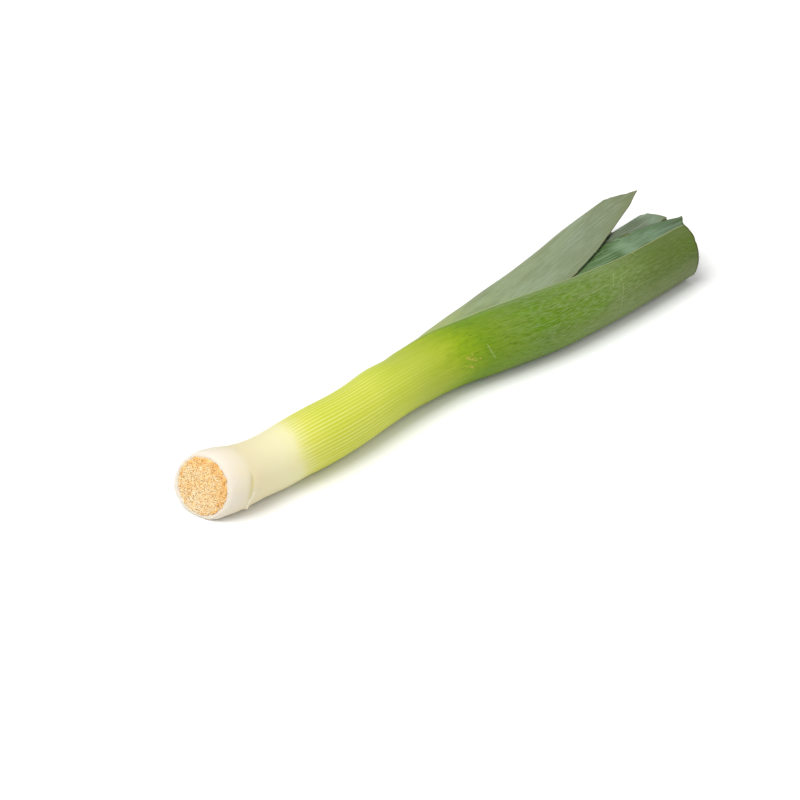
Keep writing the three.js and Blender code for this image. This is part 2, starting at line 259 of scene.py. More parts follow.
def through(points, x):
    """A smooth curve through (station, value) points, level beyond both ends."""
    knots, values = np.array(points, float).T
    last = len(knots) - 1
    x = np.clip(x, knots[0], knots[last])
    i = np.clip(np.searchsorted(knots, x) - 1, 0, last - 1)
    before = np.maximum(np.arange(last + 1) - 1, 0)
    after = np.minimum(np.arange(last + 1) + 1, last)
    slopes = (values[after] - values[before]) / (knots[after] - knots[before])
    span = knots[i + 1] - knots[i]
    t = (x - knots[i]) / span
    bend = 2 * (values[i] - values[i + 1]) + span * (slopes[i] + slopes[i + 1])
    rise = 3 * (values[i + 1] - values[i]) - span * (2 * slopes[i] + slopes[i + 1])
    return values[i] + span * slopes[i] * t + rise * t**2 + bend * t**3


def placed(station, lateral, vertical):
    """Takes points of the straight leek to where they lie, in metres."""
    lean = 1 - eased(0, CUT_LEAN["fades_by"], station)
    x = station + lean * (CUT_LEAN["lateral"] * lateral + CUT_LEAN["vertical"] * vertical)
    y = lateral + through(DRIFT, station)
    z = np.maximum(vertical + through(AXIS_HEIGHT, station), 0)
    return np.stack(np.broadcast_arrays(x - MIDDLE_STATION, y - MIDDLE_DRIFT, z), -1) * MM


def level_inset(level):
    """How far a level's outer face lies inside the outer leaf's."""
    return 0 if level == 0 else OUTER_THICKNESS + LEAF_GAP + (level - 1) * (LEAF_THICKNESS + LEAF_GAP)


def margin_angle(leaf, top, station, depth):
    """The angle, counted from the keel, at which a margin lies."""
    reach = through(leaf["top"] if top else leaf["bottom"], station)
    arm = through(ARM, station) - depth
    angle = math.pi / 2 + np.arcsin(np.clip(reach / arm, 0, 1))
    if leaf is OUTER_LEAF:
        return np.where(station <= SLIT_START, math.pi, angle)
    return angle


def swelling(leaf, station, angle):
    """How far the stem stands out of its plain section."""
    turn = np.degrees(angle if leaf["side"] < 0 else math.pi - angle)
    total = 0
    for place, length, toward, width, height in SWELLINGS:
        off = (turn - toward + 180) % 360 - 180
        total = total + height * np.exp(-(((station - place) / length) ** 2) - (off / width) ** 2)
    return total


def section(leaf, station, angle, depth):
    """Sideways and upward place of points on a leaf, about its own middle, so deep below its outer face."""
    return plain_section(leaf, station, angle, depth - swelling(leaf, station, angle))


def plain_section(leaf, station, angle, depth):
    """The same without the stem's swellings."""
    rise = through(RISE, station) - depth
    keel = through(leaf["keel"], station) - depth
    arm = through(ARM, station) - depth
    reach = np.where(np.cos(angle) > 0, keel, arm)
    return leaf["side"] * reach * np.cos(angle), rise * np.sin(angle)


def way_from_keel(leaf, station, angle, depth):
    """How far round the section a point is from the keel."""
    shares = np.linspace(0, 1, KEEL_STEPS)
    turns = angle[..., None] * shares
    lateral, vertical = plain_section(leaf, station[..., None], turns, np.expand_dims(depth, -1))
    return np.hypot(np.diff(lateral), np.diff(vertical)).sum(-1)


def cut_station(leaf, across):
    """Where a line of the blade stops, by its share of the way from bottom margin (-1) to top margin (1)."""
    cut = through(leaf["cut"], across)
    for place, width, depth in leaf["nicks"]:
        cut = cut - depth * np.clip(1 - np.abs(across - place) / width, 0, 1)
    return cut - CUT_RAGGED * np.sin(across * CUT_WAVES + leaf["level"]) ** 2


def even_shares(leaf, station, columns):
    """Shares across the blade, from -1 to 1, whose points stand evenly along its outer line at a station."""
    depth = level_inset(leaf["level"])
    fine = np.linspace(-1, 1, BLADE_STEPS)
    spot = np.full_like(fine, station)
    low = margin_angle(leaf, False, spot, depth)
    high = margin_angle(leaf, True, spot, depth)
    angle = fine * np.where(fine < 0, low, high)
    lateral, vertical = section(leaf, spot, angle, depth)
    run = np.concatenate([[0], np.cumsum(np.hypot(np.diff(lateral), np.diff(vertical)))])
    return np.interp(np.linspace(0, run[-1], columns + 1), run, fine)


def blade_end(leaf):
    """The station at which the cut first meets the leaf."""
    return min(station for _, station in leaf["cut"])


class Blade:
    """The grid of a leaf: the station and the angle of each point, how far it is from the nearer margin and
    from the cut, and its place among the veins, which spread and close with the shaft's girth."""

    def __init__(self, leaf, rows, columns, turn):
        """rows are stations. Over the last stretch, turn long, they bend more and more to follow the cut."""
        self.leaf = leaf
        self.inset = level_inset(leaf["level"])
        self.across = np.array([even_shares(leaf, row, columns) for row in rows])
        end = blade_end(leaf)
        cut = cut_station(leaf, self.across)
        straight = np.array(rows, float)[:, None]
        bent = np.clip(1 - (end - straight) / turn, 0, 1)
        self.station = straight + bent * (cut - end)
        self.from_cut = cut - self.station
        self.angle, limit = self.angles(self.inset)
        from_keel = way_from_keel(leaf, self.station, self.angle, self.inset)
        self.from_margin = way_from_keel(leaf, self.station, limit, self.inset) - from_keel
        girth = through(SHAFT_PROFILE, np.minimum(self.station, SLIT_START)) / SHAFT_RADIUS
        self.vein = from_keel / girth / VEIN_SPACING

    def angles(self, depth):
        """The points' angles so deep below the outer line, and those of the margins they lie towards."""
        low = margin_angle(self.leaf, False, self.station, depth)
        high = margin_angle(self.leaf, True, self.station, depth)
        limit = np.where(self.across < 0, low, high)
        return self.across * limit, limit

    def face(self, depth, relief):
        """Points of a face so deep below the leaf's outer line, with its relief, and their places in the
        straight leek without it."""
        angle, _ = self.angles(depth)
        grain = np.stack([self.station, *section(self.leaf, self.station, angle, depth)], -1)
        lateral, vertical = section(self.leaf, self.station, angle, depth - relief)
        shift = through(self.leaf["shift"], self.station)
        drop = through(self.leaf["drop"], self.station)
        return placed(self.station, lateral + shift, vertical + drop), grain


FACTS = ("vein", "edge", "tip", "mark")


class Skin:
    """Collects the points, faces and surface facts of one mesh. grain is a point's place in the straight leek
    and vein its place among the veins. edge and tip are how far it is from the margin and from the cut. mark
    is the crease's painted shade, or the torn scrap where it is negative, or how pale a root fibre is."""

    def __init__(self):
        self.points, self.grain = [], []
        self.facts = {fact: [] for fact in FACTS}
        self.faces = []

    def add(self, points, grain, vein=0.0, edge=FAR, tip=FAR, mark=0.0):
        """Adds a block of points and returns their numbers in the block's own shape."""
        shape = points.shape[:-1]
        first = sum(len(block) for block in self.points)
        self.points.append(points.reshape(-1, 3))
        self.grain.append(grain.reshape(-1, 3))
        for fact, value in zip(FACTS, (vein, edge, tip, mark)):
            self.facts[fact].append(np.broadcast_to(value, shape).reshape(-1))
        return np.arange(first, first + math.prod(shape)).reshape(shape)

    def add_face_of(self, blade, depth, relief=0.0, mark=0.0):
        """Adds a face of a leaf so deep below its outer line."""
        points, grain = blade.face(depth, relief)
        return self.add(points, grain, blade.vein, blade.from_margin, blade.from_cut, mark)

    def add_middle(self, station):
        """Adds one point on the middle line."""
        return self.add(placed(station, 0, 0)[None], np.array([[station, 0, 0]], float))[0]

    def strip(self, one, other):
        """Faces between two lines of points of equal length."""
        quads = np.stack([one[:-1], one[1:], other[1:], other[:-1]], -1)
        self.faces.extend(quads.tolist())

    def sheet(self, grid):
        """Faces all over a grid of points."""
        for one, other in zip(grid[:-1], grid[1:]):
            self.strip(one, other)

    def fan(self, ring, middle):
        """Faces from a ring of points to one in its middle."""
        self.faces.extend([int(a), int(b), int(middle)] for a, b in zip(ring[:-1], ring[1:]))

    def piece(self, name, slot, finish, sharp=40):
        """Makes the piece, smooth but for edges over sharp degrees. It rides on the leek's one body."""
        points = np.concatenate(self.points)
        faces = [list(dict.fromkeys(face)) for face in self.faces]
        mesh = bpy.data.meshes.new(name)
        mesh.from_pydata(points.tolist(), [], [face for face in faces if len(face) > 2])
        for fact, blocks in self.facts.items():
            layer = mesh.attributes.new(fact, "FLOAT", "POINT")
            layer.data.foreach_set("value", np.concatenate(blocks).astype(np.float32))
        layer = mesh.attributes.new("grain", "FLOAT_VECTOR", "POINT")
        layer.data.foreach_set("vector", np.concatenate(self.grain).astype(np.float32).ravel())
        tidy_normals(mesh, math.radians(sharp))
        mesh.materials.append(finish)
        made = bpy.data.objects.new(name, mesh)
        bpy.context.scene.collection.objects.link(made)
        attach(made, "root")
        return made


def tidy_normals(mesh, sharp):
    """Drops points without a face, turns all faces outward and shades them smooth between sharp edges."""
    work = bmesh.new()
    work.from_mesh(mesh)
    loose = [vertex for vertex in work.verts if not vertex.link_faces]
    bmesh.ops.delete(work, geom=loose, context="VERTS")
    bmesh.ops.recalc_face_normals(work, faces=work.faces)
    work.to_mesh(mesh)
    work.free()
    mesh.shade_smooth()
    mesh.set_sharp_from_angle(angle=sharp)


def spaced(start, end, step):
    """Stations from start to end, no more than a step apart."""
    return np.linspace(start, end, math.ceil((end - start) / step) + 1)


def slow_swell(blade, seed):
    """Slow, uneven dents and swellings of a leaf, from -1 to 0."""
    swell = 0
    for rate, size, turn in SWELL_WAVES:
        wander = np.cos(blade.angle * turn + seed) * SWELL_WANDER
        swell = swell + size * np.sin(blade.station * rate + wander + seed)
    return swell / (2 * sum(size for _, size, _ in SWELL_WAVES)) - 0.5


def wall_at(blade, thickness):
    """The leaf's thickness, which falls off towards its margins."""
    share = np.clip(blade.from_margin / MARGIN_TAPER, 0, 1)
    return MARGIN_WALL + (thickness - MARGIN_WALL) * np.sqrt(share)


def ribs(blade, fade):
    """Fine ribs that stand up to the outer face, where fade is 1, with grooves between them."""
    return RIB_HEIGHT * fade * (np.cos(blade.vein * 2 * math.pi) - 1)


# ---- finishes ------------------------------------------------------------------------------------


def both_ways(operation):
    """The method of an operator on sockets and its reflected form."""

    def forward(self, other):
        return self.sum(operation, self, other)

    def reflected(self, other):
        return self.sum(operation, other, self)

    return forward, reflected


class Level:
    """A shader socket that can be used in sums."""

    def __init__(self, finish, socket):
        self.finish = finish
        self.socket = socket

    def sum(self, operation, *terms):
        return self.finish.node("ShaderNodeMath", {"operation": operation}, list(terms))

    __add__, __radd__ = both_ways("ADD")
    __sub__, __rsub__ = both_ways("SUBTRACT")
    __mul__, __rmul__ = both_ways("MULTIPLY")
    __truediv__, __rtruediv__ = both_ways("DIVIDE")
    __pow__, __rpow__ = both_ways("POWER")

    def cosine(self):
        return self.sum("COSINE", self)

    def stepped(self, start, end):
        """0 at start, 1 at end, and smooth in between."""
        settings = {"interpolation_type": "SMOOTHSTEP"}
        values = {"Value": self, "From Min": start, "From Max": end}
        return self.finish.node("ShaderNodeMapRange", settings, values)

    def faded(self, start, end):
        """1 at start, 0 at end, and smooth in between."""
        return 1 - self.stepped(start, end)


class Finish:
    """A material being put together."""

    def __init__(self, name):
        self.material = bpy.data.materials.new(name)
        self.material.use_nodes = True
        self.tree = self.material.node_tree
        self.tree.nodes.clear()

    def node(self, kind, settings=None, values=None, output=0):
        """Makes a node from its settings and its sockets' values or links, and returns one of its outputs."""
        made = self.tree.nodes.new(kind)
        for key, value in (settings or {}).items():
            if key == "stops":
                self.set_stops(made.color_ramp, value)
            else:
                setattr(made, key, value)
        pairs = enumerate(values) if isinstance(values, list) else (values or {}).items()
        for key, value in pairs:
            socket = made.inputs[key]
            if isinstance(value, Level):
                self.tree.links.new(value.socket, socket)
            else:
                socket.default_value = value
        return Level(self, made.outputs[output]) if made.outputs else None

    def set_stops(self, ramp, stops):
        """Gives a ramp its stops, as (place, colour)."""
        while len(ramp.elements) > 1:
            ramp.elements.remove(ramp.elements[-1])
        ramp.elements[0].position = stops[0][0]
        ramp.elements[0].color = (*stops[0][1], 1)
        for place, colour in stops[1:]:
            ramp.elements.new(place).color = (*colour, 1)

    def fact(self, name, output="Fac"):
        """A surface fact that the mesh carries."""
        return self.node("ShaderNodeAttribute", {"attribute_name": name}, output=output)

    def noise(self, vector, scale, detail):
        """Noise with scale cells per mm in each direction."""
        spot = self.node("ShaderNodeVectorMath", {"operation": "MULTIPLY"}, [vector, scale])
        values = {"Vector": spot, "Scale": 1.0, "Detail": detail, "Roughness": 0.55}
        return self.node("ShaderNodeTexNoise", None, values)

    def ramp(self, level, stops):
        return self.node("ShaderNodeValToRGB", {"stops": stops}, {"Fac": level}, output="Color")

    def mix(self, one, other, share):
        """Colours are tuples or links. share 0 gives one, 1 gives other."""
        settings = {"data_type": "RGBA", "clamp_factor": True}
        return self.node("ShaderNodeMix", settings, {0: share, 6: padded(one), 7: padded(other)}, output=2)

    def bump(self, height, strength, distance):
        values = {"Height": height, "Strength": strength, "Distance": distance}
        return self.node("ShaderNodeBump", None, values)

    def shade(self, **sockets):
        """Ends the material with a Principled shader. Sockets are given by name with _ for a space."""
        values = {name.replace("_", " "): value for name, value in sockets.items()}
        shader = self.node("ShaderNodeBsdfPrincipled", None, values)
        self.node("ShaderNodeOutputMaterial", None, {"Surface": shader})
        return self.material


def padded(colour):
    """A colour as a link, or with the opacity that a socket asks for."""
    return colour if isinstance(colour, Level) else (*colour, 1)


# ---- colours and marks ---------------------------------------------------------------------------

# A ramp of colours runs from the root end to this station.
LENGTH = 420.0

# Colours along the leek, as (station, colour)
SHAFT_COLOURS = [
    (0, (0.67, 0.61, 0.51)), (9, (0.67, 0.605, 0.455)), (18, (0.68, 0.60, 0.38)), (40, (0.69, 0.645, 0.40)),
    (49, (0.69, 0.66, 0.36)), (54, (0.67, 0.63, 0.24)), (62, (0.60, 0.58, 0.09)), (75, (0.54, 0.555, 0.055)),
    (112, (0.52, 0.55, 0.062)), (131, (0.435, 0.495, 0.043)), (148, (0.37, 0.43, 0.042)),
    (168, (0.315, 0.385, 0.021)), (184, (0.235, 0.335, 0.003)), (198, (0.136, 0.236, 0.0005)),
    (212, (0.13, 0.222, 0.002)), (224, (0.122, 0.215, 0.005)), (240, (0.09, 0.18, 0.001)),
    (268, (0.10, 0.178, 0.008)), (290, (0.105, 0.176, 0.02)), (306, (0.125, 0.186, 0.045)),
    (345, (0.095, 0.13, 0.03)), (390, (0.078, 0.102, 0.026)),
]
PALE_COLOURS = [
    (110, (0.50, 0.54, 0.10)), (165, (0.37, 0.41, 0.11)), (200, (0.29, 0.345, 0.125)),
    (250, (0.225, 0.28, 0.15)), (330, (0.19, 0.228, 0.144)), (385, (0.165, 0.19, 0.105)),
    (418, (0.125, 0.13, 0.048)),
]
TEAL_COLOURS = [
    (110, (0.50, 0.54, 0.10)), (200, (0.14, 0.24, 0.07)), (328, (0.056, 0.112, 0.028)),
    (337, (0.052, 0.104, 0.024)), (344, (0.155, 0.24, 0.135)), (350, (0.168, 0.25, 0.143)),
    (358, (0.12, 0.185, 0.10)), (366, (0.13, 0.20, 0.115)), (378, (0.125, 0.19, 0.122)),
    (391, (0.076, 0.116, 0.072)), (404, (0.04, 0.06, 0.022)),
]
# On the fourth leaf the dark green from station 300 to 344 is painted shade of the deep gap under the second
# leaf.
GREY_COLOURS = [
    (110, (0.50, 0.54, 0.10)), (200, (0.17, 0.25, 0.08)), (300, (0.05, 0.075, 0.03)),
    (344, (0.045, 0.065, 0.03)), (358, (0.10, 0.13, 0.075)), (372, (0.108, 0.14, 0.088)),
    (385, (0.122, 0.155, 0.098)), (393, (0.20, 0.27, 0.185)), (404, (0.14, 0.195, 0.09)),
]
YOUNG_COLOURS = [
    (110, (0.55, 0.57, 0.14)), (250, (0.30, 0.40, 0.12)), (370, (0.22, 0.28, 0.12)),
    (400, (0.11, 0.13, 0.06)),
]

# Tints of the shaft and the outer leaf. Near is where the leaf opens, and outward is towards its cut.
STRIPE_PALE = (0.68, 0.71, 0.24)
STRIPE_GREEN = (0.36, 0.45, 0.02)
RUBBED_GREEN = (0.125, 0.25, 0.002)
DULL_GREEN = (0.15, 0.18, 0.06)
WAX_STREAK = (0.20, 0.26, 0.11)
WAX_DASH = (0.20, 0.28, 0.12)
DARK_DASH = (0.05, 0.115, 0.002)
UPPER_GREEN = (0.065, 0.115, 0.004)
LOWER_OLIVE = (0.20, 0.22, 0.06)
MARGIN_BLOOM = (0.20, 0.26, 0.13)
MARGIN_SHADE = (0.10, 0.145, 0.02)
MARGIN_NEAR = (0.35, 0.43, 0.21)
MARGIN_OUTWARD = (0.30, 0.32, 0.18)
CUT_OLIVE = (0.045, 0.048, 0.003)
BULB_STAIN = (0.72, 0.58, 0.34)
CREASE_PAINTED_SHADE = (0.52, 0.46, 0.17)
SCRAP_WHITE = (0.82, 0.80, 0.68)
SCRAP_EDGE = (0.80, 0.77, 0.62)
SCRATCH_PALE = (0.36, 0.42, 0.18)
CRUMB_BROWN = (0.52, 0.38, 0.09)

# Stations between which a look of the shaft and the outer leaf comes in, or fades
STAINS_FADE = (48, 60)
STRIPES_COME = (49, 58)
STRIPES_RISE = (49, 70)
STRIPES_FADE = (85, 170)
MARGIN_NEAR_COMES = (132, 150)
GREEN_COMES = (140, 215)
MARGIN_SHADE_COMES = (150, 175)
MARGIN_BLOOM_COMES = (150, 260)
WAX_COMES = (188, 264)
OLIVE_COMES = (215, 260)
MARGIN_TURNS = (225, 300)
MARGIN_SHADE_FADES = (270, 330)
DASHES_FADE = (270, 350)
MARGIN_BLOOM_FADES = (275, 325)
RUBBING_FADES = (280, 330)
UPPER_GREEN_COMES = (322, 352)

# Light scratches on the outer leaf and crumbs of brown, as (points in the straight leek, half width)
SCRATCHES = [
    ([(199.5, -13.3, 10.2), (200.5, -15.3, 6.3), (202.4, -16.3, 2)], 0.7),
    ([(310.3, -3.3, 16.4), (305.8, -7.2, 14.9), (302.6, -10.3, 12.8)], 0.35),
    ([(312.9, -6.7, 15.1), (311.5, -9.8, 13.2), (310, -12.3, 10.4), (306.8, -14.5, 6.6)], 0.4),
    ([(306.8, -14.5, 6.6), (305.3, -15.5, 3.1), (304.6, -15.8, 0), (304, -15.5, -3.3)], 0.4),
    ([(339.9, 6.1, 16.6), (338.3, 1.3, 16.6)], 0.4),
]
CRUMBS = [
    ([(183.5, -14.5, 7.6), (189.5, -15.7, 4.8)], 1.2),
    ([(187.7, -14.3, 8.3), (187.1, -15.3, 5.9)], 0.8),
    ([(185.3, -16.2, 1.8), (186.6, -16.3, 0.8)], 1.0),
    ([(182.4, -16.1, 2.7), (182.9, -16.1, 2.4)], 0.6),
    ([(192.4, -15.7, 4.9), (192.9, -15.8, 4.4)], 0.6),
]

# The pale edge of the scrap of torn skin near the root
SCRAP_LINE = [(14.9, -17.6, -1.3), (13.4, -16.6, -6.9), (14.4, -14.1, -10.9)]
SCRAP_WIDTH = 0.6

# An inner leaf: the stations between which it turns green, its darker bands, as (how far from the margin they
# fade, the stations between which they come), and how far from the margin its back's tint comes in, in two
# steps
LEAF_GREEN_COMES = (150, 230)
DARK_BANDS = [((1.5, 8), (240, 290)), ((3, 12), (345, 395))]
BACK_FIRST = (17, 28)
BACK_SECOND = (28, 42)
BACK_OLIVE = (0.2, 0.2, 0.08)

# Torn and dark streaks on the third leaf, as (start, end, half width, tint, strength)
TORN_BROWN = (0.10, 0.10, 0.02)
TORN_DARK = (0.035, 0.075, 0.012)
TORN_STREAKS = [
    ((354.8, 27.9, 12.6), (360, 26.8, 12.6), 1.3, TORN_DARK, 0.75),
    ((359, 27, 12.6), (364, 26.1, 12.6), 1.3, TORN_BROWN, 0.75),
    ((344.0, 28.5, 12.6), (352.1, 25.3, 12.6), 0.9, TORN_DARK, 0.75),
    ((337.3, 27.1, 12.6), (340.3, 26.8, 12.6), 0.8, TORN_DARK, 0.75),
    ((329.9, 23.9, 12.8), (332.6, 24.6, 12.7), 0.7, TORN_DARK, 0.75),
    ((325.9, 21.4, 12.8), (336.2, 22.5, 12.8), 0.8, TORN_DARK, 0.75),
    ((318.3, 19.6, 12.9), (320.2, 19.6, 12.9), 0.8, TORN_DARK, 0.75),
    ((354.3, 19.2, 12.7), (356.0, 18.8, 12.7), 0.6, TORN_DARK, 0.75),
]

# Painted shadow of the deep gap under the second leaf's top margin, on its own edge and on the fourth leaf's
# face
GAP_SHADOW_DARK = (0.008, 0.018, 0.006)
GAP_SHADOW_EDGE = [
    ((300, -30.9, 14.3), (317, -30, 14.3), 1.4, GAP_SHADOW_DARK, 0.97),
    ((317, -30, 14.3), (332, -29, 14.3), 1.4, GAP_SHADOW_DARK, 0.97),
    ((332, -29, 14.3), (342, -27.4, 14.3), 1.3, GAP_SHADOW_DARK, 0.97),
    ((342, -27.4, 14.3), (350, -25.9, 14.3), 1.1, GAP_SHADOW_DARK, 0.9),
]
GAP_SHADE = [
    ((330, -2.5, 11.4), (352, 1.2, 11.2), 2.4, GAP_SHADOW_DARK, 0.9),
    ((352, 1.2, 11.2), (364, 4.6, 9.6), 2.2, GAP_SHADOW_DARK, 0.8),
]

# Colours of the root plate by its grain, and of its fibres from dark to pale
PLATE_COLOURS = [(0.3, (0.77, 0.45, 0.15)), (0.5, (0.80, 0.54, 0.23)), (0.7, (0.82, 0.61, 0.32))]
PLATE_PALE = (0.88, 0.74, 0.48)
FIBRE_COLOURS = [
    (0.0, (0.74, 0.36, 0.08)), (0.3, (0.78, 0.47, 0.16)), (0.6, (0.80, 0.565, 0.26)),
    (1.0, (0.84, 0.67, 0.42)),
]

# How high the finest grain stands in a bump, in metres
SKIN_BUMP = 0.0003
PLATE_BUMP = 0.0005


def along(finish, station, colours):
    return finish.ramp(station / LENGTH, [(place / LENGTH, colour) for place, colour in colours])


class LeafGrain:
    """The patterns that every leaf shares: veins, short dashes and long streaks that run with them, and
    patches where the waxy bloom is thick or rubbed off. Noises are scaled along the leek, then across it."""

    def __init__(self, finish, dash_length):
        self.grain = finish.fact("grain", "Vector")
        self.station = finish.node("ShaderNodeSeparateXYZ", None, {"Vector": self.grain}, output="X")
        self.edge = finish.fact("edge")
        self.tip = finish.fact("tip")
        self.mark = finish.fact("mark")
        self.dash = finish.noise(self.grain, (1 / dash_length, 1.7, 1.7), 2.0)
        self.streak = finish.noise(self.grain, (0.03, 0.9, 0.9), 3.0)
        self.patch = finish.noise(self.grain, (0.025, 0.09, 0.09), 3.0)
        self.vein = ((finish.fact("vein") * (2 * math.pi)).cosine() * 0.5 + 0.5) ** 3

    def wandering(self, reach):
        """The station, pushed to and fro by the patches and the streaks."""
        return self.station + (self.patch - 0.5) * (reach * 2) + (self.streak - 0.5) * reach


def scratch(finish, grain, start, end, width):
    """1 on a short line between two places of the straight leek, and 0 off it."""
    run = Vector(end) - Vector(start)
    off = finish.node("ShaderNodeVectorMath", {"operation": "SUBTRACT"}, [grain, tuple(start)])
    dot = {"operation": "DOT_PRODUCT"}
    share = finish.node("ShaderNodeVectorMath", dot, [off, tuple(run / run.length_squared)], output="Value")
    held = finish.node("ShaderNodeClamp", None, {"Value": share})
    foot = finish.node("ShaderNodeVectorMath", {"operation": "SCALE"}, {0: tuple(run), "Scale": held})
    away = finish.node("ShaderNodeVectorMath", {"operation": "DISTANCE"}, [off, foot], output="Value")
    return away.faded(width * 0.4, width)


def linked(points, width, tint, strength):
    """The short lines that join points, as (start, end, half width, tint, strength)."""
    return [(start, end, width, tint, strength) for start, end in zip(points[:-1], points[1:])]


def drawn(finish, grain, colour, lines, broken=None):
    """Draws short lines over a colour, whole or broken up by a mask."""
    for start, end, width, tint, strength in lines:
        line = scratch(finish, grain, start, end, width) * strength
        colour = finish.mix(colour, tint, line if broken is None else line * broken)
    return colour


# ---- finishes of the pieces ----------------------------------------------------------------------


def striped(finish, leaf, colour):
    """The pale ribs of the shaft and the green between them."""
    lined = leaf.station.stepped(*STRIPES_COME) * (1 - leaf.station.stepped(*STRIPES_FADE) * 0.88)
    uneven = finish.noise(leaf.grain, (0.012, 0.45, 0.45), 2.0).stepped(0.34, 0.66) * 0.85 + 0.15
    colour = finish.mix(colour, STRIPE_PALE, leaf.vein * lined * uneven * 0.58)
    return finish.mix(colour, STRIPE_GREEN, leaf.vein.faded(0, 0.3) * lined * 0.3)


def bloomed(finish, leaf, colour):
    """The green leaf's waxy bloom, rubbed off in patches and frayed into streaks and dashes."""
    green = leaf.station.stepped(*GREEN_COMES)
    waxy = leaf.station.stepped(*WAX_COMES)
    rubbed = leaf.patch.stepped(0.46, 0.62) * green * (1 - leaf.station.stepped(*RUBBING_FADES) * 0.75)
    frayed = leaf.dash.stepped(0.48, 0.66) * waxy * (1 - leaf.station.stepped(*DASHES_FADE) * 0.55)
    colour = finish.mix(colour, RUBBED_GREEN, rubbed * 0.35)
    colour = finish.mix(colour, DULL_GREEN, leaf.patch.faded(0.34, 0.5) * waxy * 0.35)
    colour = finish.mix(colour, WAX_STREAK, leaf.streak.stepped(0.5, 0.72) * waxy * 0.45)
    colour = finish.mix(colour, WAX_DASH, frayed * 0.6)
    return finish.mix(colour, DARK_DASH, leaf.dash.faded(0.34, 0.5) * green * 0.5)


def toned(finish, leaf, colour):
    """A deeper green high on the outer leaf near its cut, and an olive cast low down."""
    upper = finish.node("ShaderNodeSeparateXYZ", None, {"Vector": leaf.grain}, output="Z").stepped(0, 13)
    colour = finish.mix(colour, UPPER_GREEN, upper * leaf.station.stepped(*UPPER_GREEN_COMES) * 0.42)
    return finish.mix(colour, LOWER_OLIVE, upper.faded(0, 0.4) * leaf.station.stepped(*OLIVE_COMES) * 0.12)


def edged(finish, leaf, colour):
    """By the margin a band of bloom, a darker line and the thin pale edge, and the dark rim of the cut."""
    band = leaf.station.stepped(*MARGIN_BLOOM_COMES) * leaf.station.faded(*MARGIN_BLOOM_FADES)
    shade = leaf.station.stepped(*MARGIN_SHADE_COMES) * leaf.station.faded(*MARGIN_SHADE_FADES)
    outward = leaf.station.stepped(*MARGIN_TURNS)
    near = leaf.station.stepped(*MARGIN_NEAR_COMES) * (1 - outward)
    colour = finish.mix(colour, MARGIN_BLOOM, leaf.edge.faded(1.0, 6) * band * 0.5)
    colour = finish.mix(colour, MARGIN_SHADE, leaf.edge.faded(1.4, 3.0) * shade * 0.35)
    colour = finish.mix(colour, MARGIN_NEAR, leaf.edge.faded(0.5, 1.3) * near * 0.65)
    colour = finish.mix(colour, MARGIN_OUTWARD, leaf.edge.faded(0.4, 1.1) * outward * 0.6)
    return finish.mix(colour, CUT_OLIVE, leaf.tip.faded(0.6, 2) * 0.75)


def marked(finish, leaf, colour):
    """Stains on the bulb, painted shade in the crease, the torn scrap near the root, scratches and crumbs of
    brown.
    """
    stain = finish.noise(leaf.grain, (0.06, 0.09, 0.09), 2.0).stepped(0.56, 0.75)
    colour = finish.mix(colour, BULB_STAIN, stain * leaf.station.faded(*STAINS_FADE) * 0.35)
    # The crease's darker olive is painted shade.
    colour = finish.mix(colour, CREASE_PAINTED_SHADE, leaf.mark.stepped(0.1, 1.0) * 0.6)
    colour = finish.mix(colour, SCRAP_WHITE, (0 - leaf.mark).stepped(0.1, 0.8))
    for points, width in SCRATCHES:
        colour = drawn(finish, leaf.grain, colour, linked(points, width, SCRATCH_PALE, 0.3))
    colour = drawn(finish, leaf.grain, colour, linked(SCRAP_LINE, SCRAP_WIDTH, SCRAP_EDGE, 0.8))
    broken = finish.noise(leaf.grain, (0.9, 0.9, 0.9), 2.0).stepped(0.38, 0.56)
    for points, width in CRUMBS:
        colour = drawn(finish, leaf.grain, colour, linked(points, width, CRUMB_BROWN, 0.6), broken)
    return colour


def skin_of_shaft_and_outer_leaf():
    finish = Finish("shaft_and_outer_leaf_skin")
    leaf = LeafGrain(finish, dash_length=5)
    colour = along(finish, leaf.wandering(7), SHAFT_COLOURS)
    for layer in (striped, bloomed, toned, edged, marked):
        colour = layer(finish, leaf, colour)
    height = leaf.streak * 0.6 + leaf.dash * 0.4 + leaf.vein * leaf.station.stepped(*STRIPES_RISE) * 0.35
    return finish.shade(
        Base_Color=colour,
        Roughness=leaf.dash * 0.25 + 0.36,
        Normal=finish.bump(height, 0.4, SKIN_BUMP),
        Specular_IOR_Level=0.2,
    )


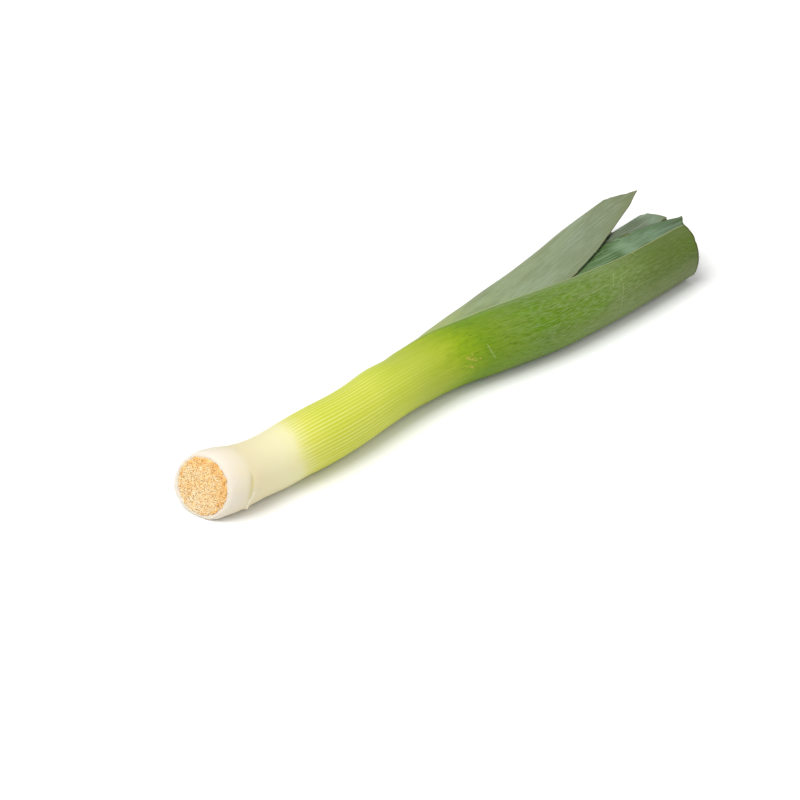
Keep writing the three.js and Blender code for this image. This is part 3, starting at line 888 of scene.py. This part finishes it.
def skin_of_leaf(name, colours, light, dark, rim, dark_edge, back=BACK_OLIVE, lines=()):
    """An inner leaf's skin: streaks and dashes of a lighter and a darker tint, bands of the darker one by the
    margin, and listed lines."""
    finish = Finish(name)
    leaf = LeafGrain(finish, dash_length=12)
    green = leaf.station.stepped(*LEAF_GREEN_COMES)
    inward = leaf.edge.stepped(*BACK_FIRST) * 0.4 + leaf.edge.stepped(*BACK_SECOND) * 0.25
    colour = along(finish, leaf.wandering(5), colours)
    colour = finish.mix(colour, back, inward * green)
    colour = finish.mix(colour, light, leaf.streak.stepped(0.46, 0.66) * green * 0.65)
    colour = finish.mix(colour, dark, leaf.patch.faded(0.36, 0.54) * green * 0.5)
    colour = finish.mix(colour, light, leaf.dash.stepped(0.54, 0.7) * green * 0.4)
    colour = finish.mix(colour, dark, leaf.dash.faded(0.33, 0.46) * green * 0.45)
    colour = finish.mix(colour, light, leaf.vein * 0.14)
    for reach, stations in DARK_BANDS:
        band = leaf.edge.faded(*reach) * leaf.station.stepped(*stations)
        colour = finish.mix(colour, dark, band * (0.6 * dark_edge))
    colour = finish.mix(colour, rim, leaf.edge.faded(0.25, 0.8) * 0.7)
    colour = finish.mix(colour, rim, leaf.tip.faded(0.3, 1.6) * 0.6)
    broken = finish.noise(leaf.grain, (0.5, 0.9, 0.9), 2.0).stepped(0.25, 0.5)
    height = leaf.streak * 0.6 + leaf.dash * 0.4 + leaf.vein * 0.3
    return finish.shade(
        Base_Color=drawn(finish, leaf.grain, colour, lines, broken),
        Roughness=leaf.dash * 0.25 + 0.4,
        Normal=finish.bump(height, 0.35, SKIN_BUMP),
        Specular_IOR_Level=0.2,
    )


def skin_of_root_plate():
    finish = Finish("root_plate_skin")
    grain = finish.fact("grain", "Vector")
    chunks = finish.noise(grain, (0.35, 0.35, 0.35), 4.0)
    specks = finish.noise(grain, (1.4, 1.4, 1.4), 3.0)
    colour = finish.ramp(chunks, PLATE_COLOURS)
    return finish.shade(
        Base_Color=finish.mix(colour, PLATE_PALE, specks.stepped(0.52, 0.68) * 0.6),
        Roughness=0.85,
        Normal=finish.bump(specks, 0.5, PLATE_BUMP),
    )


def skin_of_root_fibres():
    """mark sets how pale a fibre is, and two noises vary it."""
    finish = Finish("root_fibre_skin")
    grain = finish.fact("grain", "Vector")
    specks = finish.noise(grain, (1.2, 1.2, 1.2), 2.0)
    broad = finish.noise(grain, (0.12, 0.12, 0.12), 2.0)
    pale = finish.fact("mark") + (specks - 0.5) * 0.3 + (broad - 0.5) * 0.9
    return finish.shade(
        Base_Color=finish.ramp(pale, FIBRE_COLOURS),
        Roughness=0.75,
        Normal=finish.bump(specks, 0.3, SKIN_BUMP),
    )


# ---- outer leaf and shaft ------------------------------------------------------------------------

SHAFT_COLUMNS = 230
ROW_STEP = 2.4

# How long the stretch is over which rows bend to follow the cut
SHAFT_TURN = 50

# Stations between which the shaft's ribs and its slow swell come in or fade, and how high the swell is
RIBS_COME = (48, 70)
RIBS_FADE = (100, 124)
SWELL_COMES = (4, 30)
SHAFT_SWELL = 0.3
SHAFT_SEED = 3

# How far the cut rim of the bulb stands out, by the angle from the keel in degrees. The wave fades between
# two stations. It also pushes the rim forward, and its dents take the rim back only a little.
RIM_WAVE = [
    (-180, 0.9), (-155, 1.4), (-130, 0.7), (-110, 0.2), (-85, 0.1), (-60, 0.5), (-30, 0.1), (40, 0),
    (90, -0.1), (115, 0), (138, -0.4), (160, 0.2), (180, 0.9),
]
RIM_FADES = (0.8, 6.0)
RIM_FORWARD = 0.55
RIM_DENT = -0.2

# Scallops in the rim, unevenly spaced. On the upper side they keep only a share of their depth. The deepest
# lie on the lower side, turned by a few degrees.
SCALLOP_COUNT = 23
SCALLOP_DEPTH = 0.3
SCALLOP_ABOVE = 0.35
SCALLOP_TURN = 20
SCALLOP_UNEVEN = 0.6

# The crease where the outermost skin of the shaft begins, by the angle from the keel in degrees: its station,
# and how clearly it shows. The skin beyond it stands raised, from its edge on until it fades.
CREASE = [(-80, 13.6), (-50, 13.4), (-13, 12.6), (3, 12.9), (18, 14.2), (32, 14.9), (60, 15.6)]
CREASE_SHOWS = [(-100, 0), (-60, 0.2), (-30, 0.3), (-8, 0.8), (20, 0.9), (34, 0.3), (46, 0)]
CREASE_DEPTH = 0.45
CREASE_WIDTH = 1.9
RAISED_HEIGHT = 0.2
RAISED_COMES = (-0.4, 1.2)
RAISED_FADES = (4, 14)

# The scrap of torn skin: its middle as a station and degrees from the keel, and its half sizes in each
SCRAP_SPOT = (15.2, -43)
SCRAP_SIZE = (0.9, 5)

# Rings from the rim into the root plate's recess, as (station, radius). They take on a share of the rim's
# wave and are ragged themselves, and both die out by the station RECESS_CALM.
RECESS_RINGS = [(-0.25, 16.5), (-0.2, 15.9), (0.1, 15.2), (0.8, 15.0), (PLATE_DEPTH, RECESS_RADIUS)]
RECESS_CALM = 2
RECESS_WAVE = 0.6


def rim_wave(station, degrees):
    """How far the skin near the root stands out of its round."""
    turn = np.radians(degrees)
    below = np.clip(-np.sin(np.radians(degrees + SCALLOP_TURN)), 0, 1)
    scallops = 1 - np.abs(np.sin(turn * SCALLOP_COUNT / 2 + SCALLOP_UNEVEN * np.sin(turn * 3)))
    depth = SCALLOP_DEPTH * (SCALLOP_ABOVE + (1 - SCALLOP_ABOVE) * below)
    return (1 - eased(*RIM_FADES, station)) * (through(RIM_WAVE, degrees) - depth * scallops)


def rim_push(wave):
    """How far the wave pushes the rim forward."""
    return RIM_FORWARD * np.maximum(wave, RIM_DENT)


def crease_at(station, degrees):
    """The groove at the outermost skin's edge and the raised skin beyond it, each from 0 to 1."""
    beyond = station - through(CREASE, degrees)
    shows = through(CREASE_SHOWS, degrees)
    groove = np.exp(-((beyond / CREASE_WIDTH) ** 2))
    raised = eased(*RAISED_COMES, beyond) * (1 - eased(*RAISED_FADES, beyond))
    return groove * shows, raised * shows


def torn_scrap(station, degrees):
    """A scrap of torn skin that stands off the shaft, from 0 to 1."""
    lengthwise = (station - SCRAP_SPOT[0]) / SCRAP_SIZE[0]
    sideways = (degrees - SCRAP_SPOT[1]) / SCRAP_SIZE[1]
    return np.exp(-(lengthwise**2 + sideways**2))


def shaft_rows(end):
    """Stations of the closed sheath and of the opened leaf. They stand close at the rim, at the crease and
    where the sheath splits."""
    bulb = [0, 0.3, 0.7, 1.2, 1.8, 2.6, 3.6, 4.8, *spaced(6.2, 12.8, 1.5), *spaced(13.6, 20.8, 0.45)]
    shaft = [*spaced(22, 30, 2), *spaced(32, MOUTH_FLOOR, ROW_STEP), *spaced(110.5, SLIT_START, ROW_STEP)]
    opened = [*spaced(128.6, 132, 1.2), *spaced(133.5, 160, 1.6), *spaced(162, end, ROW_STEP)]
    return [*bulb, *shaft], opened


def make_outer_leaf_and_shaft(finish):
    """The shaft and the leaf that grows on from it: a closed sheath that splits down its far side."""
    leaf = OUTER_LEAF
    closed, opened = shaft_rows(blade_end(leaf))
    blade = Blade(leaf, [*closed, *opened], SHAFT_COLUMNS, SHAFT_TURN)
    slit = len(closed) - 1
    floor = closed.index(MOUTH_FLOOR)
    blade.from_margin = np.where(blade.station <= SLIT_START, FAR, blade.from_margin)
    degrees = np.degrees(blade.angle)
    wave = rim_wave(blade.station, degrees)
    groove, raised = crease_at(blade.station, degrees)
    scrap = torn_scrap(blade.station, degrees)
    relief = ribs(blade, eased(*RIBS_COME, blade.station) * (1 - eased(*RIBS_FADE, blade.station)))
    relief = relief + SHAFT_SWELL * slow_swell(blade, SHAFT_SEED) * eased(*SWELL_COMES, blade.station)
    relief = relief + wave - CREASE_DEPTH * groove + RAISED_HEIGHT * raised + scrap
    wall = wall_at(blade, OUTER_THICKNESS)
    blade.station = blade.station - rim_push(wave)
    skin = Skin()
    # The mark carries the groove, which the finish darkens with painted shade, and the scrap, which it
    # whitens.
    outer = skin.add_face_of(blade, 0, relief, groove - scrap)
    inner = skin.add_face_of(blade, wall)
    for grid in (outer, inner):
        grid[: slit + 1, -1] = grid[: slit + 1, 0]
    skin.sheet(outer)
    skin.sheet(inner[floor:])
    skin.strip(outer[slit:, 0], inner[slit:, 0])
    skin.strip(outer[slit:, -1], inner[slit:, -1])
    skin.strip(outer[-1], inner[-1])
    close_mouth_and_recess(skin, inner[floor], outer[0], blade.angle[0])
    piece = skin.piece(leaf["name"] + "_skin", "shaft_and_outer_leaf", finish)
    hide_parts(leaf["name"])


def ragged_lip(around):
    """Uneven waves of the knife's cut round the recess."""
    return 0.3 * np.sin(around * 13 + 2 * np.sin(around * 5)) + 0.15 * np.sin(around * 31)


def close_mouth_and_recess(skin, mouth, rim, around):
    """The floor that the inner leaves stand on, and the recess round the root plate."""
    skin.fan(mouth, skin.add_middle(MOUTH_FLOOR))
    wave = rim_wave(0, np.degrees(around))
    ragged = ragged_lip(around)
    rings = [rim]
    for depth, radius in RECESS_RINGS:
        share = max(1 - max(depth, 0) / RECESS_CALM, 0)
        station = depth - rim_push(wave) * share
        rings.append(ring_of_points(skin, station, radius + (wave * RECESS_WAVE + ragged) * share, around))
    skin.sheet(np.array(rings))
    skin.fan(rings[-1], skin.add_middle(PLATE_DEPTH))


def ring_of_points(skin, station, radius, around):
    """Adds a ring that closes on itself."""
    lateral, vertical = -radius * np.cos(around), radius * np.sin(around)
    station = np.broadcast_to(station, lateral.shape)
    numbers = skin.add(placed(station, lateral, vertical), np.stack([station, lateral, vertical], -1))
    numbers[-1] = numbers[0]
    return numbers


# ---- leaves --------------------------------------------------------------------------------------

LEAF_COLUMNS = 200
LEAF_TURN = 70

# Stations between which an inner leaf's ribs come in, the share of their height that it has, how high its
# slow swell is, and the share of the outer face's relief that its inner face repeats
LEAF_RIBS_COME = (150, 200)
LEAF_RIBS = 0.3
LEAF_SWELL = 0.15
LEAF_SEED = 5
INNER_RELIEF = 0.5


def make_leaf(leaf, slot, finish):
    """A thin folded leaf with thinner margins, cut across at its end."""
    blade = Blade(leaf, spaced(leaf["start"], blade_end(leaf), ROW_STEP), LEAF_COLUMNS, LEAF_TURN)
    relief = LEAF_RIBS * ribs(blade, eased(*LEAF_RIBS_COME, blade.station))
    relief = relief + LEAF_SWELL * slow_swell(blade, LEAF_SEED + leaf["level"])
    skin = Skin()
    outer = skin.add_face_of(blade, blade.inset, relief)
    inner = skin.add_face_of(blade, blade.inset + wall_at(blade, LEAF_THICKNESS), relief * INNER_RELIEF)
    skin.sheet(outer)
    skin.sheet(inner)
    skin.strip(outer[:, 0], inner[:, 0])
    skin.strip(outer[:, -1], inner[:, -1])
    skin.strip(outer[0], inner[0])
    skin.strip(outer[-1], inner[-1])
    piece = skin.piece(leaf["name"] + "_blade", slot, finish)
    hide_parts(leaf["name"])


# ---- root plate ----------------------------------------------------------------------------------

PLATE_AROUND = 120
PLATE_RINGS = 22
PLATE_MIDDLE = 0.8
PLATE_EDGE = 15.3
PLATE_ROUGHNESS = 0.22

# How far the disc is raised to fill in between the fibres
PLATE_FILL = 0.28

# A fibre starts rooted in the plate and leaves it outward, leaning a little to a side, then bends and kinks
# from joint to joint. It sinks no deeper than FIBRE_SUNK and stands at most FIBRE_PROUD off the plate.
ROOT_SEED = 7
FIBRE_COUNT = 1050
FIBRE_SIDES = 5
FIBRE_JOINTS = 6
FIBRE_STEP = (0.4, 0.75)
FIBRE_RADIUS = (0.2, 0.36)
FIBRE_TAPER = 0.65
FIBRE_OUTWARD = 0.7
FIBRE_LEAN = 0.6
FIBRE_BEND = 0.5
FIBRE_KINK = 0.22
FIBRE_ROOTED = 0.2
FIBRE_SUNK = 0.15
FIBRE_PROUD = 0.7
FIBRE_REACH = PLATE_EDGE - 0.3
FIBRE_INSET = 0.4
FIBRE_SHUFFLE = 0.2

# How pale fibres are, and how much that varies. Near the top edge they are darker and low down they are
# paler, and each comes in between two radii.
FIBRE_PALE = 0.75
FIBRE_VARIES = 0.2
TOP_DARKER = 0.4
TOP_COMES = (10.5, 14.5)
LOW_PALER = 0.2
LOW_COMES = (3, 9)

# Crumbs are short and thick, and scattered inward from the edge. Where they lie dense they spread wider, both
# ways, grow thicker and stand higher.
CRUMB_COUNT = 130
CRUMB_STEP = (0.2, 0.4)
CRUMB_RADIUS = (0.35, 0.5)
CRUMB_SHAPE = np.array([0.3, 0.85, 1, 0.95, 0.8, 0.3])
CRUMB_INSET = 0.5
CRUMB_SCATTER = 0.7
CRUMB_PALE = 0.2
CRUMB_VARIES = 0.12
CRUMB_PALEST = 0.5
DENSE_SPREAD = 0.8
DENSE_SCATTER = 0.9
DENSE_RADIUS = 0.4
DENSE_PROUD = 0.3


def plate_face(radius):
    """How far the plate's shallow dome stands proud, as a station."""
    return -PLATE_DOME * (1 - (radius / PLATE_RADIUS) ** 2)


def make_root_plate(finish):
    """The disc under the fibres, lightly rough, with a flat back that clears the recess."""
    around = np.linspace(-math.pi, math.pi, PLATE_AROUND + 1)
    skin = Skin()
    rings = []
    for radius in np.linspace(PLATE_MIDDLE, PLATE_EDGE, PLATE_RINGS):
        rough = PLATE_ROUGHNESS * np.sin(around * 11 + radius * 2.1) * np.sin(radius * 1.7)
        rings.append(ring_of_points(skin, plate_face(radius) - PLATE_FILL + rough, radius, around))
    back = PLATE_DEPTH - PLATE_CLEARANCE
    rings.append(ring_of_points(skin, back, PLATE_EDGE, around))
    skin.sheet(np.array(rings))
    skin.fan(rings[0], skin.add_middle(plate_face(0) - PLATE_FILL))
    skin.fan(rings[-1], skin.add_middle(back))
    piece = skin.piece("root_plate_disc", "root_plate", finish)
    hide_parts("root_plate")


def fibre_path(draw, radius, turn, step, reach=FIBRE_REACH, proud=FIBRE_PROUD):
    """A short root that leaves the plate, then bends over and curls, as (station, lateral, vertical) points.
    It stays within reach of the plate's middle, and stands so proud of the plate at most."""
    spot = np.array([plate_face(radius) + FIBRE_ROOTED, radius * math.cos(turn), radius * math.sin(turn)])
    way = np.array([-FIBRE_OUTWARD, *draw.uniform(-FIBRE_LEAN, FIBRE_LEAN, 2)])
    bend = draw.normal(0, 1, 3)
    path = [spot.copy()]
    for _ in range(FIBRE_JOINTS - 1):
        way = way / np.linalg.norm(way)
        spot = spot + way * step
        out = math.hypot(spot[1], spot[2])
        if out > reach:
            spot[1:] *= reach / out
        face = plate_face(min(out, PLATE_EDGE))
        spot[0] = min(max(spot[0], face - proud), face + FIBRE_SUNK)
        path.append(spot.copy())
        way = way + FIBRE_BEND * np.cross(way, bend) + draw.normal(0, FIBRE_KINK, 3)
    return np.array(path)


def tube_rings(path, radii, sides):
    """Rings of points round a path."""
    ways = np.gradient(path, axis=0)
    ways /= np.linalg.norm(ways, axis=1)[:, None] + 1e-9
    one = np.cross(ways, [0.3, 0.5, 0.8])
    one /= np.linalg.norm(one, axis=1)[:, None] + 1e-9
    other = np.cross(ways, one)
    turns = np.linspace(0, 2 * math.pi, sides, endpoint=False)
    spread = np.cos(turns)[None, :, None] * one[:, None] + np.sin(turns)[None, :, None] * other[:, None]
    return path[:, None] + radii[:, None, None] * spread


def add_tube(skin, rings, tint):
    """A closed tube through rings of points, with its tint as the mark."""
    numbers = skin.add(placed(rings[..., 0], rings[..., 1], rings[..., 2]), rings, mark=tint)
    skin.sheet(np.concatenate([numbers, numbers[:, :1]], axis=1))
    skin.faces.append(numbers[0].tolist())
    skin.faces.append(numbers[-1].tolist())


def crumbly(turn):
    """How thick the orange crumbs lie in a direction from the plate's middle: most at the top, towards -Y."""
    return max(0.5 + 0.5 * math.sin(turn) - 0.35 * math.cos(turn), 0)


def make_root_fibres(finish):
    """Short curled roots all over the plate, and a rim of darker crumbs round it."""
    draw = np.random.default_rng(ROOT_SEED)
    skin = Skin()
    add_fibres(skin, draw)
    add_crumbs(skin, draw)
    skin.piece("root_fibres", "root_plate", finish, sharp=80)


def add_fibres(skin, draw):
    """Fibres spread evenly over the plate, each turned on by the golden angle from the one before."""
    golden = math.pi * (3 - math.sqrt(5))
    for i in range(FIBRE_COUNT):
        radius = (PLATE_EDGE - FIBRE_INSET) * math.sqrt((i + 0.5) / FIBRE_COUNT)
        turn = i * golden + draw.uniform(-FIBRE_SHUFFLE, FIBRE_SHUFFLE)
        path = fibre_path(draw, radius, turn, draw.uniform(*FIBRE_STEP))
        radii = draw.uniform(*FIBRE_RADIUS) * np.linspace(1, FIBRE_TAPER, FIBRE_JOINTS)
        darker = TOP_DARKER * crumbly(turn) * eased(*TOP_COMES, radius)
        paler = LOW_PALER * max(-math.sin(turn), 0) * eased(*LOW_COMES, radius)
        tint = draw.normal(FIBRE_PALE - darker + paler, FIBRE_VARIES)
        add_tube(skin, tube_rings(path, radii, FIBRE_SIDES), np.clip(tint, 0, 1))


def add_crumbs(skin, draw):
    """Short thick crumbs in a rim round the plate, largest where it is crumbly."""
    for _ in range(CRUMB_COUNT):
        turn = draw.uniform(-math.pi, math.pi)
        dense = crumbly(turn)
        spread = DENSE_SPREAD * dense
        inward = abs(draw.normal(0, CRUMB_SCATTER + DENSE_SCATTER * dense))
        radius = PLATE_EDGE - CRUMB_INSET - inward + spread
        step = draw.uniform(*CRUMB_STEP)
        path = fibre_path(draw, radius, turn, step, FIBRE_REACH + spread, FIBRE_PROUD + DENSE_PROUD * dense)
        radii = draw.uniform(CRUMB_RADIUS[0], CRUMB_RADIUS[1] + DENSE_RADIUS * dense) * CRUMB_SHAPE
        tint = draw.normal(CRUMB_PALE, CRUMB_VARIES)
        add_tube(skin, tube_rings(path, radii, FIBRE_SIDES + 1), np.clip(tint, 0, CRUMB_PALEST))


# ---- make the leek -------------------------------------------------------------------------------

# The second leaf carries painted shadow along its top margin, and the fourth leaf painted shade on its face,
# both from the deep gap between them.
pale = skin_of_leaf(
    "pale_leaf_skin",
    PALE_COLOURS,
    light=(0.26, 0.335, 0.22),
    dark=(0.16, 0.19, 0.09),
    rim=(0.10, 0.09, 0.03),
    dark_edge=0.95,
    back=(0.25, 0.285, 0.14),
    lines=GAP_SHADOW_EDGE,
)
teal = skin_of_leaf(
    "teal_leaf_skin",
    TEAL_COLOURS,
    light=(0.18, 0.27, 0.155),
    dark=(0.045, 0.10, 0.02),
    rim=(0.07, 0.075, 0.015),
    dark_edge=0.2,
    lines=TORN_STREAKS,
)
grey = skin_of_leaf(
    "grey_leaf_skin",
    GREY_COLOURS,
    light=(0.20, 0.26, 0.18),
    dark=(0.08, 0.10, 0.05),
    rim=(0.12, 0.13, 0.06),
    dark_edge=0.2,
    back=(0.15, 0.17, 0.10),
    lines=GAP_SHADE,
)
young = skin_of_leaf(
    "young_leaf_skin",
    YOUNG_COLOURS,
    light=(0.38, 0.43, 0.2),
    dark=(0.2, 0.27, 0.06),
    rim=(0.22, 0.24, 0.08),
    dark_edge=0.2,
)

make_outer_leaf_and_shaft(skin_of_shaft_and_outer_leaf())
make_leaf(SECOND_LEAF, "pale_leaf", pale)
make_leaf(THIRD_LEAF, "inner_leaf", teal)
make_leaf(FOURTH_LEAF, "inner_leaf", grey)
make_leaf(FIFTH_LEAF, "inner_leaf", young)
make_root_plate(skin_of_root_plate())
make_root_fibres(skin_of_root_fibres())

# ---- floor and lights ----------------------------------------------------------------------------
# Metres, degrees and watts

FLOOR_HALF = 6.0
FLOOR_DROP = 0.0002
FLOOR_PAINT = (0.9, 0.9, 0.895, 1)
SKY_STRENGTH = 0.55


def make_floor():
    """A pale floor just below the leek."""
    mesh = bpy.data.meshes.new("floor")
    corners = [(-1, -1), (1, -1), (1, 1), (-1, 1)]
    mesh.from_pydata([(x * FLOOR_HALF, y * FLOOR_HALF, -FLOOR_DROP) for x, y in corners], [], [(0, 1, 2, 3)])
    finish = Finish("floor_paint")
    mesh.materials.append(finish.shade(Base_Color=FLOOR_PAINT, Roughness=0.9, Specular_IOR_Level=0.2))
    floor = bpy.data.objects.new("floor", mesh)
    bpy.context.scene.collection.objects.link(floor)


def make_light(name, azimuth, elevation, distance, side, watts):
    """A square soft light that faces the leek."""
    data = bpy.data.lights.new(name, "AREA")
    data.size = side
    data.energy = watts
    light = bpy.data.objects.new(name, data)
    away = away_from_aim(math.radians(azimuth), math.radians(elevation))
    light.location = away * distance
    light.rotation_euler = away.to_track_quat("Z", "Y").to_euler()
    bpy.context.scene.collection.objects.link(light)


def make_sky():
    """Even white light from all round."""
    world = bpy.data.worlds.new("studio")
    world.use_nodes = True
    background = world.node_tree.nodes["Background"]
    background.inputs["Color"].default_value = (1, 1, 1, 1)
    background.inputs["Strength"].default_value = SKY_STRENGTH
    bpy.context.scene.world = world


make_floor()
make_sky()
make_light("key", azimuth=-95, elevation=62, distance=4.0, side=2.7, watts=140)
make_light("fill", azimuth=-10, elevation=45, distance=4.0, side=2.9, watts=34)
